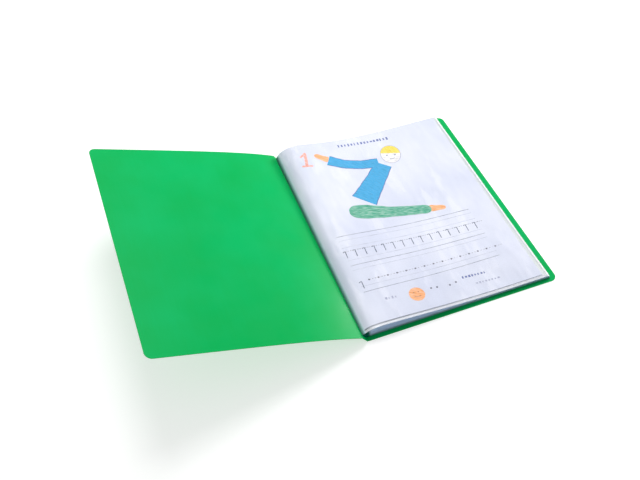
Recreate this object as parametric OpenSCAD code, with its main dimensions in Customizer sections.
// Clear-pocket display book, open on a table.
// A green plastic cover in three panels (back cover, spine, front cover) is joined at two creases.
// A stack of clear film pockets is held along the spine's inner face, and a worksheet sits in the top one.
// The origin is the centre of the back cover's underside, +X runs from the spine to the free edge of
// the back cover, +Y runs along the spine towards the pockets' open ends, and +Z is up.

/* [Cover] */
// Height of the covers, along the spine
cover_h = 310; // [220:5:340]
// Width of each cover, from its crease to its free edge
cover_w = 246; // [200:2:280]
// Thickness of the cover sheet
cover_t = 0.8; // [0.6:0.1:1.0]
// Radius of the outer corners
corner_r = 8; // [3:1:20]

/* [Spine] */
// Width of the spine, from crease to crease
spine_w = 12; // [12:0.5:16]
// Angle by which the spine leans back from upright
spine_lean = 35; // [25:1:40]

/* [Open front cover] */
// Slope of the front cover at its crease
crease_slope = 28; // [15:1:35]
// Slope that the front cover settles to towards its free edge
edge_slope = 20; // [10:1:30]
// Distance over which the slope fades from one to the other
bend_length = 45; // [20:5:120]

/* [Pockets] */
// Number of pockets
pocket_count = 20; // [2:1:20]
// Thickness of one film
film_t = 0.05; // [0.04:0.01:0.06]
// Width of the welded border round a pocket
weld_w = 3; // [2:0.5:5]
// Room between the two films of an empty pocket
empty_room = 0.07; // [0.05:0.01:0.08]
// Room between the two films of the pocket that holds the worksheet
filled_room = 0.2; // [0.2:0.01:0.22]
// Step from one pocket to the next at the spine
spine_pitch = 0.42; // [0.35:0.01:0.42]
// Step from one pocket to the next at the free edge
edge_pitch = 0.25; // [0.25:0.01:0.3]
// Margin of back cover left bare beyond the pockets' free edge and below them
margin = 4.8; // [3:0.2:8]

/* [Worksheet] */
// Width of the worksheet
sheet_w = 230; // [150:1:231]
// Height of the worksheet
sheet_h = 297; // [200:1:297]
// Thickness of the worksheet
sheet_t = 0.1; // [0.08:0.01:0.12]

/* [Hidden] */
// Air between neighbouring pockets and under the lowest one
stack_gap = 0.1;
// Air between the spine's inner face and the pockets
root_gap = 0.7;
// Distance from a crease line to the edge of the panel that turns about it
hinge_set = 1;
// Play of the worksheet at the bottom of its pocket and beside the weld
sheet_play = 0.8;
// Distance from the spine over which the stack thins down to its free edge
fade_length = 170;
// Number of straight steps that stand for the front cover's curve and for a pocket's
cover_steps = 20;
fade_steps = 16;
// Height that clears every piece, for cutting rounded corners
tall = 200;

cover_green = [0.04, 0.74, 0.42];
film_clear = [0.84, 0.91, 0.95, 0.6];
paper_white = [0.95, 0.95, 1.0];

crease_x = -cover_w / 2;
crease_z = cover_t / 2;
spine_angle = 90 + spine_lean;
front_crease = [crease_x, crease_z] + spine_w * [cos(spine_angle), sin(spine_angle)];
pocket_right = cover_w / 2 - margin;
pocket_bottom = margin - cover_h / 2;
pocket_top = cover_h / 2 - margin;

// Pockets are numbered from the top of the stack down
function pocket_name(k) = str("pocket_", k < 10 ? "0" : "", k);

// Slope of the front cover at distance s from its crease
function cover_slope(s) = edge_slope + (crease_slope - edge_slope) * exp(-s / bend_length);

// Point on the front cover's middle surface after i steps away from its crease
cover_step = (cover_w - hinge_set) / cover_steps;
function cover_point(i) =
    i == 0
        ? front_crease + hinge_set * [-cos(crease_slope), sin(crease_slope)]
        : let (a = cover_slope(hinge_set + (i - 0.5) * cover_step))
          cover_point(i - 1) + cover_step * [-cos(a), sin(a)];

// The same point moved up out of the middle surface by d
function cover_skin(i, d) =
    let (a = cover_slope(hinge_set + i * cover_step)) cover_point(i) + d * [sin(a), cos(a)];

// Thickness of pocket k, and the height of its underside at the spine and at its free edge
function pocket_room(k) = k == 1 ? filled_room : empty_room;
function pocket_t(k) = pocket_room(k) + 2 * film_t;
function stack_base(k, pitch) = cover_t + stack_gap + (pocket_count - k) * pitch;

// Left end of pocket k, just clear of the spine's leaning inner face
function pocket_left(k) =
    crease_x
    - (stack_base(k, spine_pitch) + pocket_t(k) - crease_z) * tan(spine_lean)
    + crease_z / cos(spine_lean)
    + root_gap;

// Height of pocket k's underside at x: the stack is thick at the spine and thin at its free edge
function fade(x, k) =
    let (u = min(1, (x - pocket_left(k)) / fade_length)) (1 + cos(180 * u)) / 2;
function pocket_z(x, k) =
    let (low = stack_base(k, edge_pitch), high = stack_base(k, spine_pitch))
    low + (high - low) * fade(x, k);

// Outline between two heights d0 and d1 above pocket k's underside, from x0 to x1
function layer(k, x0, x1, d0, d1) =
    let (
        bend_end = pocket_left(k) + fade_length,
        xs = [for (i = [0 : fade_steps]) x0 + (bend_end - x0) * i / fade_steps, x1]
    )
    concat(
        [for (x = xs) [x, pocket_z(x, k) + d0]],
        [for (i = [len(xs) - 1 : -1 : 0]) [xs[i], pocket_z(xs[i], k) + d1]]
    );

// Solid with an outline in X and Z, from y0 to y1
module along_y(y0, y1)
    translate([0, y1, 0]) rotate([90, 0, 0]) linear_extrude(y1 - y0) children();

// Plan of a cover panel from x = inner to x = outer, with its two outer corners rounded
module panel_plan(inner, outer) {
    side = sign(outer - inner);
    straight = outer - side * corner_r;
    translate([min(inner, straight), -cover_h / 2])
        square([abs(straight - inner), cover_h]);
    translate([min(straight, outer), corner_r - cover_h / 2])
        square([corner_r, cover_h - 2 * corner_r]);
    for (y = [-1, 1])
        translate([straight, y * (cover_h / 2 - corner_r)])
            circle(r = corner_r, $fn = 48);
}

module back_cover()
    color(cover_green)
        linear_extrude(cover_t)
            panel_plan(crease_x + hinge_set, cover_w / 2);

// The spine's long edges are round, so that each cover turns about them
module spine()
    color(cover_green)
        along_y(-cover_h / 2, cover_h / 2)
            translate([crease_x, crease_z])
                rotate(spine_angle) {
                    translate([0, -cover_t / 2]) square([spine_w, cover_t]);
                    circle(d = cover_t, $fn = 32);
                    translate([spine_w, 0]) circle(d = cover_t, $fn = 32);
                }

module front_cover()
    color(cover_green)
        intersection() {
            along_y(-cover_h / 2, cover_h / 2)
                polygon(concat(
                    [for (i = [0 : cover_steps]) cover_skin(i, cover_t / 2)],
                    [for (i = [cover_steps : -1 : 0]) cover_skin(i, -cover_t / 2)]
                ));
            linear_extrude(tall)
                panel_plan(front_crease[0], cover_point(cover_steps)[0]);
        }

// Two films welded along the spine, the free edge and the bottom, and open at the top
module pocket(k)
    color(film_clear)
        difference() {
            along_y(pocket_bottom, pocket_top)
                polygon(layer(k, pocket_left(k), pocket_right, 0, pocket_t(k)));
            along_y(pocket_bottom + weld_w, pocket_top + 1)
                polygon(layer(
                    k,
                    pocket_left(k) + weld_w,
                    pocket_right - weld_w,
                    film_t,
                    film_t + pocket_room(k)
                ));
        }

// The sheet of paper lies in the middle of the top pocket's room
module worksheet() {
    left = pocket_left(1) + weld_w + sheet_play;
    bottom = pocket_bottom + weld_w + sheet_play;
    under = film_t + (filled_room - sheet_t) / 2;
    color(paper_white)
        along_y(bottom, bottom + sheet_h)
            polygon(layer(1, left, left + sheet_w, under, under + sheet_t));
}

back_cover();
spine();
front_cover();
for (k = [1 : pocket_count])
    pocket(k);
worksheet();
